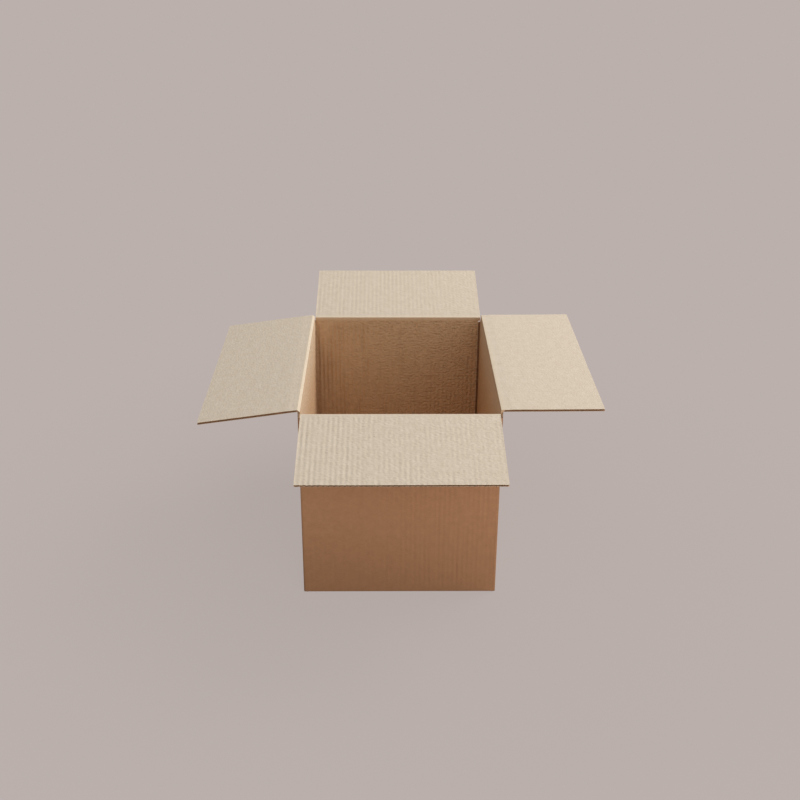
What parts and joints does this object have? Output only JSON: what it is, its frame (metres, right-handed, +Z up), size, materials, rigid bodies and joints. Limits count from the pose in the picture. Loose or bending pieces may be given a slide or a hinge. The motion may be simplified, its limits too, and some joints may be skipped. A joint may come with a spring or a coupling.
{
  "type": "open corrugated carton",
  "caption": "Plain brown slotted carton of corrugated board, standing open with its top flaps folded outward on their creases.",
  "frame": {"origin": "middle of the base, on the surface the carton stands on", "axes": "+X to the right across the short walls, +Y from the front wall to the back wall, +Z up out of the open top"},
  "size_m": [0.6121, 0.7142, 0.3575],
  "materials": {
    "kraft_board": "matte"
  },
  "bodies": {
    "root": {"carton_body": "kraft_board"},
    "front_flap": {"front_flap": "kraft_board"},
    "back_flap": {"back_flap": "kraft_board"},
    "left_flap": {"left_flap": "kraft_board"},
    "right_flap": {"right_flap": "kraft_board"}
  },
  "joints": [
    {"name": "front_flap_crease", "type": "hinge", "parent": "root", "child": "front_flap", "pos_m": [0, -0.204, 0.317], "axis": [-1, 0, 0], "range_deg": [-76, 193]},
    {"name": "back_flap_crease", "type": "hinge", "parent": "root", "child": "back_flap", "pos_m": [0, 0.204, 0.317], "axis": [1, 0, 0], "range_deg": [-81, 166.5]},
    {"name": "left_flap_crease", "type": "hinge", "parent": "root", "child": "left_flap", "pos_m": [-0.154, 0, 0.3213], "axis": [0, 1, 0], "range_deg": [-81, 188]},
    {"name": "right_flap_crease", "type": "hinge", "parent": "root", "child": "right_flap", "pos_m": [0.154, 0, 0.3213], "axis": [0, -1, 0], "range_deg": [-89.5, 179.5]}
  ]
}
